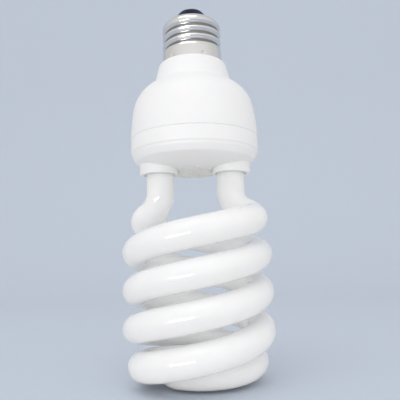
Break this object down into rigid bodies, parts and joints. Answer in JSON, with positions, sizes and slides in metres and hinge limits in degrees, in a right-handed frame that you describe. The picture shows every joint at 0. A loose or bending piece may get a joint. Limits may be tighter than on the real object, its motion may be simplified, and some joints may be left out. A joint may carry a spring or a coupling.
{
  "type": "spiral energy saving bulb",
  "caption": "Screw-in energy saving bulb: a glass tube wound into a double spiral under a white ballast housing with a nickel screw cap.",
  "frame": {"origin": "on the lamp's axis, in the plane of the screw shell's lower rim", "axes": "+Z along the axis out of the cap, -Y towards the viewer of the picture, the two tube legs at plus and minus X"},
  "size_m": [0.0628, 0.0628, 0.1614],
  "materials": {
    "nickel": "bright nickel plate",
    "insulator": "gloss",
    "contact": "satin",
    "solder": "dull",
    "housing": "satin",
    "phosphor_glass": "opal gloss",
    "cement": "rough",
    "board": "matte",
    "sleeve": "gloss",
    "ferrite": "matte",
    "bobbin": "matte",
    "enamelled_wire": "enamelled",
    "transistor": "matte",
    "diode": "matte",
    "resistor": "matte",
    "film_capacitor": "gloss",
    "wire_cover": "satin",
    "pin": "tinned"
  },
  "bodies": {
    "root": {"screw_shell": "nickel", "contact_insulator": "insulator", "centre_contact": "contact", "contact_solder": "solder", "upper_housing": "housing", "tube_holder": "housing", "spiral_tube": "phosphor_glass", "tube_cement_1": "cement", "tube_cement_2": "cement", "cement_smear": "cement", "circuit_board": "board", "electrolytic_capacitor": "sleeve", "choke_core": "ferrite", "choke_bobbin": "bobbin", "choke_winding": "enamelled_wire", "toroid_core": "ferrite", "toroid_winding_1": "enamelled_wire", "toroid_winding_2": "enamelled_wire", "toroid_winding_3": "enamelled_wire", "transistor_1": "transistor", "transistor_2": "transistor", "rectifier_diode_1": "diode", "rectifier_diode_2": "diode", "rectifier_diode_3": "diode", "rectifier_diode_4": "diode", "base_resistor_1": "resistor", "base_resistor_2": "resistor", "start_resistor": "resistor", "trigger_diac": "diode", "fuse_resistor": "resistor", "resonant_capacitor": "film_capacitor", "filter_capacitor": "film_capacitor", "coupling_capacitor": "film_capacitor", "line_choke": "ferrite", "live_wire": "wire_cover", "neutral_wire": "wire_cover", "wrap_pin_1": "pin", "electrode_lead_1": "pin", "wrap_pin_2": "pin", "electrode_lead_2": "pin", "wrap_pin_3": "pin", "electrode_lead_3": "pin", "wrap_pin_4": "pin", "electrode_lead_4": "pin"}
  },
  "joints": []
}
